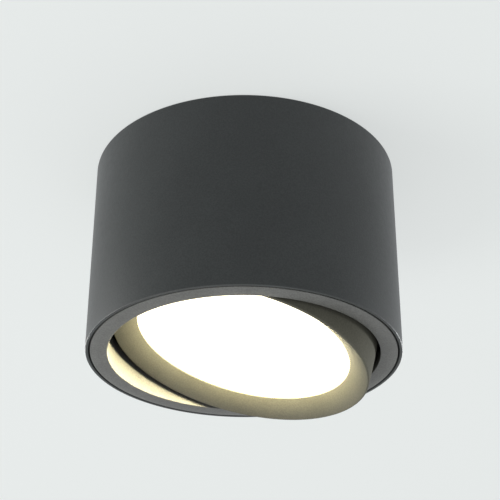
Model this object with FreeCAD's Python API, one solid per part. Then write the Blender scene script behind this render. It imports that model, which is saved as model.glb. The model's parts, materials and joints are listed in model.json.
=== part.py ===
import FreeCAD, Part
import math
import os

# Surface mounted ceiling spotlight: a fixed cylindrical housing, a trim ring that swivels in its
# mouth and a lamp head that tilts in that ring.
# Millimetres. Z points up, the ceiling is the plane z = 0 and the lamp hangs below it.
# Ring and head are made square to the axes, then turned into the rest pose.

# Housing
housing_radius = 60.0
housing_height = 79.0
housing_wall = 3.0
lip_wall = 1.2
lip_round = 0.3
back_round = 0.4
groove_depth = 1.2
groove_height = 4.0
stop_width = 4.3
stop_height = 3.0
stop_reach = 1.1

# Trim ring and its collar
ring_gap = 0.6
trim_thickness = 2.2
trim_width = 6.5
trim_round = 0.2
throat_height = 1.5
collar_height = 16.0
collar_flare = 2.6
collar_wall = 1.0
lug_depth = 4.0
lug_reach = 1.9
lug_width = 8.0
stop_tab_reach = 1.4
friction_ring_thickness = 0.7
friction_ring_width = 1.0
turning_gap = 0.1

# Retaining clips and their screws
clip_count = 3
clip_strip = 0.5
clip_width = 7.0
clip_rise = 4.4
clip_tip_drop = 3.3
tip_gap = 0.2
clip_screw_radius = 0.9
clip_screw_length = 3.4
clip_screw_head_radius = 1.3
clip_screw_head_height = 1.0

# Rest pose and pivot
ring_turn = 13.6
head_tilt = 14.0
pivot_height = 8.0
pad_radius = 5.0
pivot_shoulder_radius = 2.0
pivot_thread_radius = 1.5
pivot_cap_radius = 3.4
pivot_cap_thickness = 1.5
pivot_boss_radius = 3.5
pivot_boss_gap = 0.8
pivot_thread_end = 1.0
pivot_flat_depth = 0.2
pad_thickness = 3.4
washer_radius = 4.2
washer_thickness = 1.0
running_gap = 0.06
hex_key_radius = 1.1
hex_key_depth = 0.9

# Head body
rim_gap = 1.5
rim_width = 0.8
rim_round = 0.65
barrel_length = 22.0
barrel_wall = 2.0
cone_depth = 5.25
cone_width = 7.7
cone_land = 0.4
boss_height = 10.35
boss_gap = 0.3
boss_root = 1.0

# Light chamber, board and heat sink
diffuser_thickness = 2.0
diffuser_lap = 1.3
chamber_rim = 0.8
chamber_taper = 1.6
board_thickness = 1.6
board_margin = 0.5
led_width = 2.8
led_height = 0.7
led_margin = 4.6
led_ring_count = 3
leds_per_step = 6
board_screw_angle = 15.0
board_screw_count = 3
board_screw_end = 1.0
sink_plate_thickness = 3.0
sink_gap = 0.3
fin_end_gap = 5.9
fin_side_gap = 3.6
fin_height = 11.0
fin_thickness = 1.4
fin_count = 14
sink_screw_count = 4
sink_screw_angle = 45.0
sink_screw_thread = 6.0
sink_head_gap = 0.3
lead_well_radius = 6.0
lead_hole_radius = 3.0
lead_bore_radius = 2.0
lead_flange_radius = 4.4
lead_flange_thickness = 1.2

# Small machine screws of the head and the driver
small_thread_radius = 1.25
small_head_radius = 2.0
small_head_height = 1.5
thread_gap = 0.05
slot_width = 0.6
slot_depth = 0.6

# How far a cutting shape reaches past the face that it opens
overcut = 1.0

# Ceiling plate
plate_thickness = 1.5
plate_gap = 0.6
ear_half_width = 8.0
ear_drop = 14.0
ear_thickness = 1.5
ear_inset = 0.2
slot_spacing = 80.0
slot_half_width = 2.5
slot_length = 12.0

# Screws through the side of the housing
side_screw_drop = 8.0
side_thread_radius = 1.75
side_head_radius = 3.4
side_head_depth = 1.65
side_hole_gap = 0.35
side_head_inset = 0.1
side_screw_end = 1.0
ear_boss_radius = 3.6
ear_boss_length = 2.5

# Cable bush
entry_bore_radius = 4.0
entry_neck_radius = 6.0
entry_flange_radius = 8.4
entry_flange_thickness = 2.0
entry_skirt_radius = 5.4
entry_skirt_length = 3.0
entry_inset = 0.3
fit_gap = 0.1

# Terminal block
block_length = 32.0
block_width = 16.0
block_height = 13.0
block_entry_gap = 8.6
block_round = 1.0
pole_count = 3
pole_pitch = 10.0
wire_hole_radius = 2.0
insert_width = 5.6
insert_height = 6.0
insert_margin = 1.5
clamp_screw_radius = 1.5
clamp_screw_place = 4.2
clamp_screw_length = 5.0
block_screw_radius = 1.3
block_screw_head_radius = 2.2
block_screw_head_height = 1.5
block_screw_recess = 4.0

# Earth screw
earth_side_gap = 18.0
earth_setback = 3.0
earth_thread_radius = 1.9
earth_thread_length = 6.0
earth_head_radius = 3.5
earth_head_height = 2.4
earth_washer_radius = 4.5
earth_washer_thickness = 0.8

# Driver
driver_length = 60.0
driver_width = 30.0
driver_height = 19.0
driver_wall = 1.5
driver_round = 2.0
driver_entry_gap = 3.6
driver_cover_thickness = 2.0
driver_tab_length = 7.0
driver_lead_hole = 2.5
driver_board_gap = 0.5
driver_board_drop = 3.0
driver_board_thickness = 1.6
transformer_length = 17.0
transformer_width = 15.0
transformer_height = 11.0
transformer_end_gap = 22.0
capacitor_radius = 4.5
capacitor_height = 11.5
capacitor_end_gap = 10.0
capacitor_spacing = 11.0

# Places that follow from the sizes above
floor_z = -housing_height
housing_bore = housing_radius - housing_wall
lip_bore = housing_radius - lip_wall
trim_radius = lip_bore - ring_gap
trim_bore = trim_radius - trim_width
flange_top = floor_z + trim_thickness
ledge_z = flange_top + friction_ring_thickness + turning_gap
throat_top = floor_z + throat_height
collar_top = floor_z + collar_height
collar_bore_top = trim_bore + collar_flare
collar_outer_top = collar_bore_top + collar_wall
collar_slope = collar_flare / (collar_height - throat_height)
lug_middle = collar_outer_top - (collar_wall + lug_reach) / 2
clip_peak = collar_top + clip_strip + clip_rise
tip_low = clip_peak - clip_tip_drop
groove_low = tip_low - turning_gap
groove_top = groove_low + groove_height
groove_radius = housing_bore + groove_depth
stop_low = collar_top - lug_depth + turning_gap
pivot_z = floor_z + pivot_height
barrel_radius = trim_bore - rim_gap
cone_rim = barrel_radius - rim_width
barrel_bore = barrel_radius - barrel_wall
barrel_top = floor_z + barrel_length
seat_z = floor_z + cone_depth + cone_land
light_radius = cone_rim - cone_width
diffuser_radius = light_radius + diffuser_lap
diffuser_top = seat_z + diffuser_thickness
boss_circle = barrel_bore - small_head_radius - sink_head_gap
boss_radius = boss_circle - diffuser_radius - boss_gap
pivot_boss_end = diffuser_radius + pivot_boss_gap
plate_seat = seat_z + boss_height
board_low = plate_seat - board_thickness
sink_top = plate_seat + sink_plate_thickness
fin_top = sink_top + fin_height
fin_circle_radius = boss_circle - fin_end_gap
fin_pitch = 2 * (fin_circle_radius - fin_side_gap) / (fin_count - 1)
chamber_foot = diffuser_radius - chamber_rim - chamber_taper
led_ring_step = (chamber_foot - led_margin) / led_ring_count
board_screw_circle = (led_ring_count - 0.5) * led_ring_step
lead_hole_place = (led_ring_count - 1) * led_ring_step
pivot_flat = barrel_radius - pivot_flat_depth
pad_inner = pivot_flat + washer_thickness + turning_gap
pad_outer = pad_inner + pad_thickness
pivot_cap_low = pad_outer + turning_gap
plate_radius = housing_bore - plate_gap
plate_low = -plate_thickness
ear_outer = math.sqrt(plate_radius ** 2 - ear_half_width ** 2) - ear_inset
block_place = entry_flange_radius + block_entry_gap + block_width / 2
earth_place_x = block_length / 2 + earth_side_gap
earth_place_y = block_place - earth_setback
driver_place = -(entry_flange_radius + driver_entry_gap + driver_width / 2)
board_end = driver_length / 2 - driver_wall - driver_board_gap
transformer_place = board_end - transformer_end_gap
capacitor_place = capacitor_end_gap - board_end
cover_low = plate_low - driver_cover_thickness
driver_low = cover_low - driver_height


def turned(profile):
    # Solid made by turning a closed outline of (radius, height) points about the Z axis.
    points = [FreeCAD.Vector(radius, 0, height) for radius, height in profile]
    outline = Part.makePolygon(points + points[:1])
    return Part.Face(outline).revolve(FreeCAD.Vector(0, 0, 0), FreeCAD.Vector(0, 0, 1), 360)


def rod(radius, low, high, x=0.0, y=0.0):
    # Upright cylinder between two heights.
    return Part.makeCylinder(radius, high - low, FreeCAD.Vector(x, y, low))


def cross_rod(radius, near, far, z, x=0.0):
    # Cylinder along Y.
    return Part.makeCylinder(radius, far - near, FreeCAD.Vector(x, near, z), FreeCAD.Vector(0, 1, 0))


def side_rod(radius, near, far, z, y=0.0):
    # Cylinder along X.
    return Part.makeCylinder(radius, far - near, FreeCAD.Vector(near, y, z), FreeCAD.Vector(1, 0, 0))


def block(x_low, x_high, y_low, y_high, z_low, z_high):
    corner = FreeCAD.Vector(x_low, y_low, z_low)
    return Part.makeBox(x_high - x_low, y_high - y_low, z_high - z_low, corner)


def tube(inner, outer, low, high):
    return rod(outer, low, high).cut(rod(inner, low, high))


def around(shape, angle):
    # Copy turned about the lamp's upright axis.
    copy = shape.copy()
    copy.rotate(FreeCAD.Vector(0, 0, 0), FreeCAD.Vector(0, 0, 1), angle)
    return copy


def evenly(shape, count, start=0.0):
    # Copies spread evenly about the upright axis.
    return [around(shape, start + index * 360.0 / count) for index in range(count)]


def in_ring_pose(shape):
    return around(shape, ring_turn)


def in_head_pose(shape):
    # The head leans about the pivot, which lies along Y before the ring is turned.
    copy = shape.copy()
    copy.rotate(FreeCAD.Vector(0, 0, pivot_z), FreeCAD.Vector(0, 1, 0), head_tilt)
    return in_ring_pose(copy)


def circle_edges(shape, radius, height):
    # Round edges of a turned piece at one radius and height.
    found = []
    for edge in shape.Edges:
        round_edge = hasattr(edge.Curve, "Radius") and hasattr(edge.Curve, "Center")
        if not round_edge:
            continue
        if abs(edge.Curve.Radius - radius) < 0.001 and abs(edge.Curve.Center.z - height) < 0.001:
            found.append(edge)
    return found


def upright_edges(shape):
    # Straight edges that run along Z.
    found = []
    for edge in shape.Edges:
        ends = [vertex.Point for vertex in edge.Vertexes]
        if len(ends) == 2 and (ends[0] - ends[1]).cross(FreeCAD.Vector(0, 0, 1)).Length < 0.001:
            found.append(edge)
    return found


def save(name, shape):
    shape.exportStep("parts/" + name + ".step")
    print(name, len(shape.Solids), "solids", round(shape.Volume, 1), "mm3")


def sector(profile, width):
    # Piece of a turned solid, of one width, centred on +X.
    solid = turned(profile)
    box = solid.BoundBox
    reach = box.XMax + overcut
    slab = block(0, reach, -width / 2, width / 2, box.ZMin - overcut, box.ZMax + overcut)
    return solid.common(slab)


def make_housing():
    shell = turned([
        (lip_bore, floor_z),
        (housing_radius, floor_z),
        (housing_radius, 0),
        (housing_bore, 0),
        (housing_bore, groove_top),
        (groove_radius, groove_top),
        (groove_radius, groove_low),
        (housing_bore, groove_low),
        (housing_bore, ledge_z),
        (lip_bore, ledge_z),
    ])
    shell = shell.makeFillet(lip_round, circle_edges(shell, housing_radius, floor_z))
    shell = shell.makeFillet(back_round, circle_edges(shell, housing_radius, 0))
    # Stop that keeps the ring from turning more than once round.
    stop_top = stop_low + stop_height
    stop_root = housing_bore + housing_wall / 2
    stop = sector([
        (housing_bore - stop_reach, stop_low),
        (stop_root, stop_low),
        (stop_root, stop_top),
        (housing_bore - stop_reach, stop_top),
    ], stop_width)
    shell = shell.fuse(in_ring_pose(stop))
    for turn in (0, 180):
        shell = shell.cut(around(make_side_hole(), turn))
    return shell


def make_side_hole():
    # Countersunk hole in the wall.
    hole_radius = side_thread_radius + side_hole_gap
    hole = side_rod(hole_radius, housing_bore - overcut, housing_radius + overcut, -side_screw_drop)
    mouth_radius = side_head_radius + side_hole_gap
    sink = Part.makeCone(
        hole_radius,
        mouth_radius,
        side_head_depth,
        FreeCAD.Vector(housing_radius - side_head_depth, 0, -side_screw_drop),
        FreeCAD.Vector(1, 0, 0),
    )
    mouth = side_rod(mouth_radius, housing_radius, housing_radius + overcut, -side_screw_drop)
    return hole.fuse([sink, mouth])


def make_side_screw():
    face = housing_radius - side_head_inset
    head = Part.makeCone(
        side_thread_radius,
        side_head_radius,
        side_head_depth,
        FreeCAD.Vector(face - side_head_depth, 0, -side_screw_drop),
        FreeCAD.Vector(1, 0, 0),
    )
    end = ear_outer - ear_thickness - ear_boss_length - side_screw_end
    shank = side_rod(side_thread_radius, end, face - side_head_depth, -side_screw_drop)
    key = side_rod(hex_key_radius, face - hex_key_depth, face + overcut, -side_screw_drop)
    return head.fuse(shank).cut(key)


def make_side_lug():
    # Lug welded under the plate's edge, with a threaded boss for a side screw.
    near = ear_outer - ear_thickness
    boss_near = near - ear_boss_length
    lug = block(near, ear_outer, -ear_half_width, ear_half_width, -ear_drop, plate_low)
    lug = lug.fuse(side_rod(ear_boss_radius, boss_near, near, -side_screw_drop))
    thread_radius = side_thread_radius + thread_gap
    return lug.cut(side_rod(thread_radius, boss_near - overcut, ear_outer + overcut, -side_screw_drop))


def make_ceiling_plate():
    plate = rod(plate_radius, plate_low, 0)
    plate = plate.cut([make_ceiling_slot(1), make_ceiling_slot(-1)])
    plate = plate.cut(rod(entry_neck_radius + fit_gap, plate_low - overcut, overcut))
    for x, y in driver_screw_places():
        plate = plate.cut(rod(small_thread_radius + thread_gap, plate_low - overcut, overcut, x, y))
    for x, y in block_screw_places():
        plate = plate.cut(rod(block_screw_radius + thread_gap, plate_low - overcut, overcut, x, y))
    thread_radius = earth_thread_radius + thread_gap
    return plate.cut(rod(thread_radius, plate_low - overcut, overcut, earth_place_x, earth_place_y))


def make_ceiling_slot(side):
    # Slot along X for a ceiling screw.
    middle = side * slot_spacing / 2
    reach = slot_length / 2 - slot_half_width
    low = plate_low - overcut
    slot = block(middle - reach, middle + reach, -slot_half_width, slot_half_width, low, overcut)
    ends = [rod(slot_half_width, low, overcut, middle - reach), rod(slot_half_width, low, overcut, middle + reach)]
    return slot.fuse(ends)


def make_cable_bush():
    flange_low = plate_low - entry_flange_thickness
    return turned([
        (entry_bore_radius, -entry_inset),
        (entry_neck_radius, -entry_inset),
        (entry_neck_radius, plate_low),
        (entry_flange_radius, plate_low),
        (entry_flange_radius, flange_low),
        (entry_skirt_radius + entry_inset, flange_low),
        (entry_skirt_radius, flange_low - entry_skirt_length),
        (entry_bore_radius, flange_low - entry_skirt_length),
    ])


def pole_places():
    # Where the poles of the terminal block stand along X.
    return [(index - (pole_count - 1) / 2) * pole_pitch for index in range(pole_count)]


def block_screw_places():
    # The block's two screws stand midway between its poles.
    middle = pole_pitch / 2
    return [(-middle, block_place), (middle, block_place)]


def make_terminal_block():
    low = plate_low - block_height
    half_length = block_length / 2
    near = block_place - block_width / 2
    far = block_place + block_width / 2
    body = block(-half_length, half_length, near, far, low, plate_low)
    body = body.makeFillet(block_round, upright_edges(body))
    insert_z = plate_low - block_height / 2
    half_pocket = insert_width / 2 + fit_gap
    for x in pole_places():
        body = body.cut(cross_rod(wire_hole_radius + fit_gap, near - overcut, far + overcut, insert_z, x))
        pocket_near = near + insert_margin - fit_gap
        pocket_far = far - insert_margin + fit_gap
        pocket_low = insert_z - insert_height / 2 - fit_gap
        pocket_high = insert_z + insert_height / 2 + fit_gap
        body = body.cut(block(x - half_pocket, x + half_pocket, pocket_near, pocket_far, pocket_low, pocket_high))
        for y in (block_place - clamp_screw_place, block_place + clamp_screw_place):
            body = body.cut(rod(clamp_screw_radius + fit_gap, low - overcut, insert_z, x, y))
    for x, y in block_screw_places():
        body = body.cut(rod(block_screw_radius + fit_gap, low - overcut, plate_low + overcut, x, y))
        body = body.cut(rod(block_screw_head_radius + fit_gap, low - overcut, low + block_screw_recess, x, y))
    return body


def make_terminal_inserts():
    insert_z = plate_low - block_height / 2
    near = block_place - block_width / 2 + insert_margin
    far = block_place + block_width / 2 - insert_margin
    half_width = insert_width / 2
    low = insert_z - insert_height / 2
    inserts = []
    for x in pole_places():
        insert = block(x - half_width, x + half_width, near, far, low, insert_z + insert_height / 2)
        insert = insert.cut(cross_rod(wire_hole_radius, near - overcut, far + overcut, insert_z, x))
        for y in (block_place - clamp_screw_place, block_place + clamp_screw_place):
            insert = insert.cut(rod(clamp_screw_radius + thread_gap, low - overcut, insert_z, x, y))
        inserts.append(insert)
    return inserts


def make_clamp_screws():
    insert_z = plate_low - block_height / 2
    top = insert_z - wire_hole_radius
    screws = []
    for x in pole_places():
        for y in (block_place - clamp_screw_place, block_place + clamp_screw_place):
            screw = rod(clamp_screw_radius, top - clamp_screw_length, top, x, y)
            screws.append(slotted(screw, top - clamp_screw_length, clamp_screw_radius, x, y))
    return screws


def slotted(screw, face, radius, x, y):
    # Screwdriver slot in a face that looks down.
    half = slot_width / 2
    return screw.cut(block(x - radius, x + radius, y - half, y + half, face - overcut, face + slot_depth))


def make_block_screws():
    low = plate_low - block_height
    seat = low + block_screw_recess
    screws = []
    for x, y in block_screw_places():
        head = rod(block_screw_head_radius, seat - block_screw_head_height, seat, x, y)
        shank = rod(block_screw_radius, seat, -fit_gap, x, y)
        screws.append(slotted(head.fuse(shank), seat - block_screw_head_height, block_screw_head_radius, x, y))
    return screws


def make_earth_screw():
    seat = plate_low - earth_washer_thickness
    head_low = seat - earth_head_height
    head = rod(earth_head_radius, head_low, seat, earth_place_x, earth_place_y)
    shank = rod(earth_thread_radius, seat, -fit_gap, earth_place_x, earth_place_y)
    return slotted(head.fuse(shank), head_low, earth_head_radius, earth_place_x, earth_place_y)


def make_earth_washer():
    seat = plate_low - earth_washer_thickness
    washer = rod(earth_washer_radius, seat, plate_low, earth_place_x, earth_place_y)
    hole_radius = earth_thread_radius + fit_gap
    return washer.cut(rod(hole_radius, seat - overcut, plate_low + overcut, earth_place_x, earth_place_y))


def driver_screw_places():
    reach = driver_length / 2 + driver_tab_length / 2
    return [(-reach, driver_place), (reach, driver_place)]


def driver_box(margin, low, high):
    # Plan of the driver's casing, drawn in by a margin.
    half_length = driver_length / 2 - margin
    half_width = driver_width / 2 - margin
    return block(-half_length, half_length, driver_place - half_width, driver_place + half_width, low, high)


def make_driver_case():
    case = driver_box(0, driver_low, cover_low)
    case = case.makeFillet(driver_round, upright_edges(case))
    inside = driver_box(driver_wall, driver_low + driver_wall, cover_low + overcut)
    case = case.cut(inside)
    lead_z = driver_low + driver_height / 2
    reach = driver_length / 2 + overcut
    return case.cut(side_rod(driver_lead_hole, -reach, reach, lead_z, driver_place))


def make_driver_cover():
    cover = driver_box(0, cover_low, plate_low)
    cover = cover.makeFillet(driver_round, upright_edges(cover))
    for x, y in driver_screw_places():
        cover = cover.fuse(rod(driver_tab_length / 2, cover_low, plate_low, x, y))
        near = min(x, x - math.copysign(driver_tab_length, x))
        far = max(x, x - math.copysign(driver_tab_length, x))
        half = driver_tab_length / 2
        cover = cover.fuse(block(near, far, y - half, y + half, cover_low, plate_low))
    for x, y in driver_screw_places():
        cover = cover.cut(rod(small_thread_radius + fit_gap, cover_low - overcut, plate_low + overcut, x, y))
    return cover.removeSplitter()


def make_driver_board():
    top = cover_low - driver_board_drop
    return driver_box(driver_wall + driver_board_gap, top - driver_board_thickness, top)


def make_transformer():
    top = cover_low - driver_board_drop - driver_board_thickness
    low = top - transformer_height
    half_length = transformer_length / 2
    half_width = transformer_width / 2
    near = driver_place - half_width
    core = block(transformer_place - half_length, transformer_place + half_length, near, near + transformer_width,
                 low, top)
    return core.makeFillet(driver_round, upright_edges(core))


def make_capacitors():
    top = cover_low - driver_board_drop - driver_board_thickness
    low = top - capacitor_height
    half = capacitor_spacing / 2
    return [rod(capacitor_radius, low, top, capacitor_place, driver_place + offset) for offset in (-half, half)]


def make_driver_screws():
    head_low = cover_low - small_head_height
    screws = []
    for x, y in driver_screw_places():
        head = rod(small_head_radius, head_low, cover_low, x, y)
        shank = rod(small_thread_radius, cover_low, -fit_gap, x, y)
        screws.append(slotted(head.fuse(shank), head_low, small_head_radius, x, y))
    return screws


def middle_of_collar(height):
    # Radius of the middle of the collar's wall at one height.
    return trim_bore + (height - throat_top) * collar_slope + collar_wall / 2


def make_trim_ring():
    flange_join = middle_of_collar(flange_top) + collar_wall / 2
    ring = turned([
        (trim_bore, floor_z),
        (trim_radius, floor_z),
        (trim_radius, flange_top),
        (flange_join, flange_top),
        (collar_outer_top, collar_top),
        (collar_bore_top, collar_top),
        (trim_bore, throat_top),
    ])
    edges = circle_edges(ring, trim_bore, floor_z) + circle_edges(ring, trim_radius, floor_z)
    ring = ring.makeFillet(trim_round, edges)
    lug_bore = collar_bore_top - lug_reach
    lug_low = collar_top - lug_depth
    lug = sector([
        (lug_bore, lug_low),
        (middle_of_collar(lug_low), lug_low),
        (middle_of_collar(collar_top), collar_top),
        (lug_bore, collar_top),
    ], lug_width)
    tab_outer = collar_outer_top + stop_tab_reach
    tab_top = stop_low + stop_height
    tab = sector([
        (middle_of_collar(stop_low), stop_low),
        (tab_outer, stop_low),
        (tab_outer, tab_top),
        (middle_of_collar(tab_top), tab_top),
    ], stop_width)
    ring = ring.fuse(evenly(lug, clip_count) + [around(tab, 180)])
    pad = cross_rod(pad_radius, pad_inner, pad_outer, pivot_z)
    ring = ring.fuse([pad, around(pad, 180)])
    hole = cross_rod(pivot_shoulder_radius + running_gap, pad_inner - overcut, pad_outer + overcut, pivot_z)
    ring = ring.cut([hole, around(hole, 180)])
    thread = rod(clip_screw_radius + thread_gap, lug_low - overcut, collar_top + overcut, lug_middle)
    return ring.cut(evenly(thread, clip_count))


def make_friction_ring():
    outer = trim_radius - turning_gap
    return tube(outer - friction_ring_width, outer, flange_top, flange_top + friction_ring_thickness)


def make_clip():
    # Spring strip: a foot on the lug, a rise, and a leg that slopes out and down into the groove.
    foot_in = lug_middle - clip_screw_head_radius
    rise_in = lug_middle + clip_screw_head_radius + fit_gap
    rise_out = rise_in + clip_strip
    tip = math.sqrt((groove_radius - tip_gap) ** 2 - (clip_width / 2) ** 2)
    outline = [
        (foot_in, collar_top),
        (rise_out, collar_top),
        (rise_out, clip_peak - 2 * clip_strip),
        (tip, tip_low),
        (tip, tip_low + 1.5 * clip_strip),
        (rise_out, clip_peak),
        (rise_in, clip_peak),
        (rise_in, collar_top + clip_strip),
        (foot_in, collar_top + clip_strip),
    ]
    points = [FreeCAD.Vector(radius, -clip_width / 2, height) for radius, height in outline]
    face = Part.Face(Part.makePolygon(points + points[:1]))
    clip = face.extrude(FreeCAD.Vector(0, clip_width, 0))
    hole_top = collar_top + clip_strip + overcut
    return clip.cut(rod(clip_screw_radius + fit_gap, collar_top - overcut, hole_top, lug_middle))


def make_clip_screw():
    seat = collar_top + clip_strip
    shank = rod(clip_screw_radius, seat - clip_screw_length, seat, lug_middle)
    head = rod(clip_screw_head_radius, seat, seat + clip_screw_head_height, lug_middle)
    return shank.fuse(head)


def make_head_body():
    body = turned([
        (cone_rim, floor_z),
        (barrel_radius, floor_z),
        (barrel_radius, barrel_top),
        (barrel_bore, barrel_top),
        (barrel_bore, seat_z),
        (light_radius, seat_z),
        (light_radius, seat_z - cone_land),
    ])
    body = body.makeFillet(rim_round, circle_edges(body, barrel_radius, floor_z))
    boss = rod(boss_radius, seat_z - boss_root, plate_seat, boss_circle)
    body = body.fuse(evenly(boss, sink_screw_count, sink_screw_angle))
    pivot_boss = cross_rod(pivot_boss_radius, pivot_boss_end, barrel_bore + boss_root, pivot_z)
    body = body.fuse([pivot_boss, around(pivot_boss, 180)])
    flat = cross_rod(washer_radius + fit_gap, pivot_flat, barrel_radius + overcut, pivot_z)
    thread_radius = pivot_thread_radius + thread_gap
    thread = cross_rod(thread_radius, pivot_boss_end - overcut, barrel_radius + overcut, pivot_z)
    body = body.cut([flat, around(flat, 180), thread, around(thread, 180)])
    hole_low = plate_seat - sink_screw_thread - boss_root
    screw_hole = rod(small_thread_radius + thread_gap, hole_low, plate_seat + overcut, boss_circle)
    return body.cut(evenly(screw_hole, sink_screw_count, sink_screw_angle))


def make_pivot_screw():
    thread = cross_rod(pivot_thread_radius, pivot_boss_end + pivot_thread_end, pivot_flat, pivot_z)
    shoulder = cross_rod(pivot_shoulder_radius, pivot_flat, pivot_cap_low, pivot_z)
    cap = cross_rod(pivot_cap_radius, pivot_cap_low, pivot_cap_low + pivot_cap_thickness, pivot_z)
    face = pivot_cap_low + pivot_cap_thickness
    key = cross_rod(hex_key_radius, face - hex_key_depth, face + overcut, pivot_z)
    return thread.fuse([shoulder, cap]).cut(key)


def make_pivot_washer():
    washer = cross_rod(washer_radius, pivot_flat, pivot_flat + washer_thickness, pivot_z)
    return washer.cut(cross_rod(pivot_shoulder_radius + fit_gap, pivot_flat - overcut, pad_inner, pivot_z))


def make_diffuser():
    return rod(diffuser_radius, seat_z, diffuser_top)


def make_light_chamber():
    return turned([
        (diffuser_radius - chamber_rim, diffuser_top),
        (diffuser_radius, diffuser_top),
        (diffuser_radius, board_low),
        (chamber_foot, board_low),
    ])


def make_led_board():
    board = rod(diffuser_radius - board_margin, board_low, plate_seat)
    hole = rod(small_thread_radius + fit_gap, board_low - overcut, plate_seat + overcut, board_screw_circle)
    board = board.cut(evenly(hole, board_screw_count, board_screw_angle))
    return board.cut(rod(lead_bore_radius, board_low - overcut, plate_seat + overcut, 0, lead_hole_place))


def make_leds():
    half = led_width / 2
    leds = [block(-half, half, -half, half, board_low - led_height, board_low)]
    for ring in range(1, led_ring_count + 1):
        radius = ring * led_ring_step
        led = block(radius - half, radius + half, -half, half, board_low - led_height, board_low)
        leds += evenly(led, ring * leds_per_step)
    lead_hole = rod(lead_bore_radius + half, board_low - led_height, board_low, 0, lead_hole_place)
    return [led for led in leds if led.common(lead_hole).Volume < 0.001]


def make_board_screws():
    end = sink_top - board_screw_end
    head_low = board_low - small_head_height
    head = rod(small_head_radius, head_low, board_low, board_screw_circle)
    shank = rod(small_thread_radius, board_low, end, board_screw_circle)
    screw = slotted(head.fuse(shank), head_low, small_head_radius, board_screw_circle, 0)
    return evenly(screw, board_screw_count, board_screw_angle)


def make_heat_sink():
    fins = []
    for index in range(fin_count):
        x = (index - (fin_count - 1) / 2) * fin_pitch
        fins.append(block(x - fin_thickness / 2, x + fin_thickness / 2, -fin_circle_radius, fin_circle_radius,
                          plate_seat, fin_top))
    outline = rod(fin_circle_radius, plate_seat, fin_top)
    sink = rod(barrel_bore - sink_gap, plate_seat, sink_top).fuse([fin.common(outline) for fin in fins])
    sink = sink.cut(rod(lead_well_radius, sink_top, fin_top + overcut, 0, lead_hole_place))
    sink = sink.cut(rod(lead_hole_radius, plate_seat - overcut, fin_top + overcut, 0, lead_hole_place))
    edge_hole = rod(small_thread_radius + fit_gap, plate_seat - overcut, sink_top + overcut, boss_circle)
    sink = sink.cut(evenly(edge_hole, sink_screw_count, sink_screw_angle))
    thread = rod(small_thread_radius + thread_gap, plate_seat - overcut, sink_top - thread_gap, board_screw_circle)
    return sink.cut(evenly(thread, board_screw_count, board_screw_angle))


def make_sink_screws():
    head = rod(small_head_radius, sink_top, sink_top + small_head_height, boss_circle)
    shank = rod(small_thread_radius, plate_seat - sink_screw_thread, sink_top, boss_circle)
    half = slot_width / 2
    cut_low = sink_top + small_head_height - slot_depth
    near = boss_circle - small_head_radius
    far = boss_circle + small_head_radius
    slot = block(near, far, -half, half, cut_low, cut_low + overcut)
    return evenly(head.fuse(shank).cut(slot), sink_screw_count, sink_screw_angle)


def make_lead_bush():
    bush = rod(lead_hole_radius - thread_gap, plate_seat, sink_top, 0, lead_hole_place)
    flange = rod(lead_flange_radius, sink_top, sink_top + lead_flange_thickness, 0, lead_hole_place)
    return bush.fuse(flange).cut(rod(lead_bore_radius, plate_seat - overcut, fin_top, 0, lead_hole_place))


def save_fixture():
    save("housing", make_housing())
    save("ceiling_plate", make_ceiling_plate())
    for index, turn in enumerate((0, 180)):
        save("side_lug_" + str(index + 1), around(make_side_lug(), turn))
    save("side_screws", Part.makeCompound([around(make_side_screw(), turn) for turn in (0, 180)]))
    save("cable_bush", make_cable_bush())
    save("terminal_block", make_terminal_block())
    save("terminal_inserts", Part.makeCompound(make_terminal_inserts()))
    save("clamp_screws", Part.makeCompound(make_clamp_screws()))
    save("block_screws", Part.makeCompound(make_block_screws()))
    save("earth_screw", make_earth_screw())
    save("earth_washer", make_earth_washer())
    save("driver_case", make_driver_case())
    save("driver_cover", make_driver_cover())
    save("driver_board", make_driver_board())
    save("driver_transformer", make_transformer())
    save("driver_capacitors", Part.makeCompound(make_capacitors()))
    save("driver_screws", Part.makeCompound(make_driver_screws()))


def save_ring():
    save("trim_ring", in_ring_pose(make_trim_ring()))
    save("friction_ring", in_ring_pose(make_friction_ring()))
    for index, clip in enumerate(evenly(make_clip(), clip_count)):
        save("retaining_clip_" + str(index + 1), in_ring_pose(clip))
    screws = Part.makeCompound(evenly(make_clip_screw(), clip_count))
    save("clip_screws", in_ring_pose(screws))


def save_head():
    save("head_body", in_head_pose(make_head_body()))
    save("diffuser", in_head_pose(make_diffuser()))
    save("light_chamber", in_head_pose(make_light_chamber()))
    save("led_board", in_head_pose(make_led_board()))
    save("leds", in_head_pose(Part.makeCompound(make_leds())))
    save("board_screws", in_head_pose(Part.makeCompound(make_board_screws())))
    save("heat_sink", in_head_pose(make_heat_sink()))
    save("sink_screws", in_head_pose(Part.makeCompound(make_sink_screws())))
    save("lead_bush", in_head_pose(make_lead_bush()))
    for index, turn in enumerate((0, 180)):
        save("pivot_screw_" + str(index + 1), in_head_pose(around(make_pivot_screw(), turn)))
        save("pivot_washer_" + str(index + 1), in_head_pose(around(make_pivot_washer(), turn)))


os.makedirs("parts", exist_ok=True)
save_fixture()
save_ring()
save_head()
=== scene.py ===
import bpy
import json
import math
from mathutils import Matrix, Vector


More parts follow.
